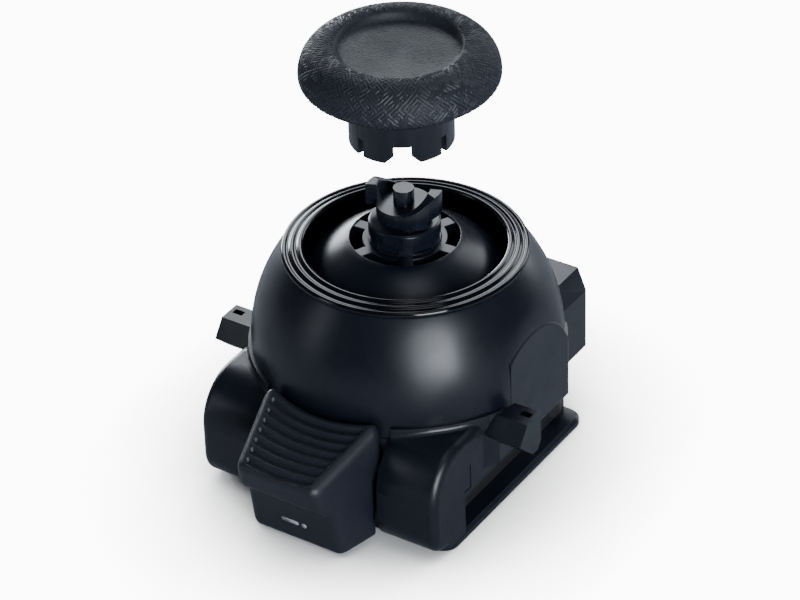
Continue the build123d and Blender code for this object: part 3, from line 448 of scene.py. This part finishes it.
make_piece("button_body", key_points, key_quads, "button_plastic", "button", ["fn_button"])

# --- printed mark on the function button's front plate: a short bar and a dot
PLATE_LOW = (TOE, KEY_FOOT)
PLATE_RUN = math.dist(WAIST, PLATE_LOW)
INK = 0.02                        # the print stands this far out of the plate, and as far into it


def on_plate(x, down, lift):
    """Point on the front plate: sideways, down the slope from its top, and out from its face."""
    dy, dz = (PLATE_LOW[0] - WAIST[0]) / PLATE_RUN, (PLATE_LOW[1] - WAIST[1]) / PLATE_RUN
    return x, WAIST[0] + dy * down + dz * lift, WAIST[1] + dz * down - dy * lift


def capsule(centre, half_length, radius, steps=14):
    """Outline of a bar with round ends, or of a dot if it has no length."""
    outline = []
    for sign in (1, -1):
        for i in range(steps + 1):
            a = math.radians(-90 + 180 * i / steps)
            across = half_length + radius * math.cos(a)
            outline.append((centre[0] + sign * across, centre[1] + sign * radius * math.sin(a)))
    return outline


mark_points, mark_faces = [], []
for outline in (capsule((-0.45, 2.75), 0.75, 0.24), capsule((1.15, 2.75), 0.0, 0.30)):
    first, count = len(mark_points), len(outline)
    for lift in (INK, -INK):
        mark_points += [on_plate(x, down, lift) for x, down in outline]
    mark_faces.append(tuple(range(first, first + count)))
    mark_faces += [(first + i, first + count + i, first + count + (i + 1) % count, first + (i + 1) % count)
                   for i in range(count)]
mark = make_piece("button_mark", mark_points, mark_faces, "button_plastic", "button")
mark.data.materials[0] = looks["mark_ink"]

# ------------------------------------------------------------------ soft edges on the CAD nodes that stay
BEVELLED = {"base_plate": 0.12, "base_housing": 0.18, "rear_cover": 0.12, "cap_core": 0.12,
            "stick_head": 0.08, "post_collar": 0.08, "dust_dome": 0.1}
for name, width in BEVELLED.items():
    weld = nodes[name].modifiers.new("weld", "WELD")
    weld.merge_threshold = 1e-6
    bevel = nodes[name].modifiers.new("edges", "BEVEL")
    bevel.width = width * MM
    bevel.segments = 3
    bevel.limit_method = "ANGLE"
    bevel.angle_limit = math.radians(28)
    bevel.use_clamp_overlap = True
    bevel.harden_normals = True

# ------------------------------------------------------------------ studio: floor, wall, lights and camera
FLOOR_GLOW = 11.0                 # light the floor gives to the camera, over what falls on it
WALL_GLOW = 1.1 * FLOOR_GLOW
FLOOR_RADIUS, WALL_RADIUS, WALL_HEIGHT, WALL_MIDDLE = 3.0, 2.9, 3.0, 1.4
FLOOR_DOWN, BOUNCE_DOWN = 0.00002, 0.0001                 # both lie just below the part's foot
CONTACT_REACH, CONTACT_POWER = 0.016, 3.6                 # width and falloff of the shade round the foot


def glowing(name, rough, strength):
    """Pale paint that also gives off light of its own."""
    paint = shader(name, (0.86, 0.86, 0.86), rough)
    surface = paint.node_tree.nodes["Principled BSDF"]
    surface.inputs["Emission Color"].default_value = (1, 1, 1, 1)
    surface.inputs["Emission Strength"].default_value = strength
    return paint


def only_for_camera(piece):
    piece.visible_diffuse = False
    piece.visible_glossy = False
    piece.visible_shadow = False


bpy.ops.mesh.primitive_circle_add(vertices=128, radius=FLOOR_RADIUS, fill_type="NGON",
                                  location=(0, 0, -FLOOR_DOWN))
floor = bpy.context.object
floor.name = "studio_floor"
floor_look = glowing("floor_paint", 0.75, FLOOR_GLOW)
# painted contact shadow: the floor's glow is darkened by ambient occlusion near the part, so the shade round
# the foot is painted into its emission
contact = floor_look.node_tree.nodes.new("ShaderNodeAmbientOcclusion")
contact.inputs["Distance"].default_value = CONTACT_REACH
contact.samples = 16
falloff = floor_look.node_tree.nodes.new("ShaderNodeMath")
falloff.operation = "POWER"
falloff.inputs[1].default_value = CONTACT_POWER
glow = floor_look.node_tree.nodes.new("ShaderNodeMath")
glow.operation = "MULTIPLY"
glow.inputs[1].default_value = FLOOR_GLOW
wire(floor_look, contact, "AO", falloff, 0)
wire(floor_look, falloff, "Value", glow, 0)
wire(floor_look, glow, "Value", floor_look.node_tree.nodes["Principled BSDF"], "Emission Strength")
floor.data.materials.append(floor_look)
only_for_camera(floor)

# what the object sees below it: the same floor at the light it really gets
bpy.ops.mesh.primitive_circle_add(vertices=64, radius=FLOOR_RADIUS, fill_type="NGON",
                                  location=(0, 0, -BOUNCE_DOWN))
bounce = bpy.context.object
bounce.name = "studio_bounce"
bounce.data.materials.append(shader("bounce_paint", (0.42, 0.45, 0.50), 0.8))
bounce.visible_camera = False

# pale wall all round, for views near the level of the floor
bpy.ops.mesh.primitive_cylinder_add(vertices=96, radius=WALL_RADIUS, depth=WALL_HEIGHT,
                                    end_fill_type="NOTHING", location=(0, 0, WALL_MIDDLE))
wall = bpy.context.object
wall.name = "studio_wall"
wall.data.materials.append(glowing("wall_paint", 0.8, WALL_GLOW))
only_for_camera(wall)

bpy.context.scene.world = bpy.data.worlds.new("studio_air")
bpy.context.scene.world.use_nodes = True
air = bpy.context.scene.world.node_tree.nodes["Background"]
air.inputs["Color"].default_value = (0.8, 0.88, 1.0, 1.0)
air.inputs["Strength"].default_value = 0.07


def direction(azimuth, elevation):
    """Unit vector at these angles in radians; azimuth is from the front, towards +X."""
    return Vector((math.sin(azimuth) * math.cos(elevation), -math.cos(azimuth) * math.cos(elevation),
                   math.sin(elevation)))


AIM = Vector((0, 0, 0.018))       # the lights face this place on the stick's axis
SKY = (0.90, 0.95, 1.0)


def softbox(name, azimuth, elevation, distance, width, height, radiance):
    """Pale blue area light that faces the stick, at these angles in degrees."""
    way = direction(math.radians(azimuth), math.radians(elevation))
    lamp = bpy.data.lights.new(name, "AREA")
    lamp.shape = "RECTANGLE"
    lamp.size, lamp.size_y = width, height
    lamp.energy = radiance * math.pi * width * height
    lamp.color = SKY
    holder = bpy.data.objects.new(name, lamp)
    holder.location = AIM + distance * way
    holder.rotation_mode = "QUATERNION"
    holder.rotation_quaternion = way.to_track_quat("Z", "Y")
    holder.visible_camera = False
    bpy.context.scene.collection.objects.link(holder)


softbox("key_box", 54, 15, 0.42, 0.19, 0.26, 14.5)
softbox("top_box", 60, 75, 0.45, 0.20, 0.20, 1.6)
softbox("crown_box", -150, 40, 0.45, 0.26, 0.20, 6.0)
softbox("rim_box", -124, 6, 0.42, 0.20, 0.20, 15.0)
softbox("fill_strip", -40, 16, 0.42, 0.09, 0.25, 2.0)
softbox("back_box", 165, 22, 0.45, 0.16, 0.40, 3.0)

# camera, as fitted to the photo
FOCAL_WIDTHS = 4.46               # focal length over the picture's width
TARGET = Vector((0, 0, 22.90)) * MM
DISTANCE = 340.3 * MM
SIDE_STEP, RISE_STEP = 0.496 * MM, 5.407 * MM
AZIMUTH, ELEVATION, ROLL = (math.radians(v) for v in (33.91, 34.49, -1.86))

back = direction(AZIMUTH, ELEVATION)
level = Vector((math.cos(AZIMUTH), math.sin(AZIMUTH), 0))
upright = back.cross(level)
across = level * math.cos(ROLL) + upright * math.sin(ROLL)
above = upright * math.cos(ROLL) - level * math.sin(ROLL)
lens = bpy.data.cameras.new("camera")
lens.sensor_width = 36.0
lens.lens = lens.sensor_width * FOCAL_WIDTHS
lens.clip_start, lens.clip_end = 0.01, 20.0
camera = bpy.data.objects.new("camera", lens)
place = TARGET - SIDE_STEP * across - RISE_STEP * above + DISTANCE * back
camera.matrix_world = Matrix.Translation(place) @ Matrix((across, above, back)).transposed().to_4x4()
bpy.context.scene.collection.objects.link(camera)
bpy.context.scene.camera = camera

bpy.context.view_layer.update()
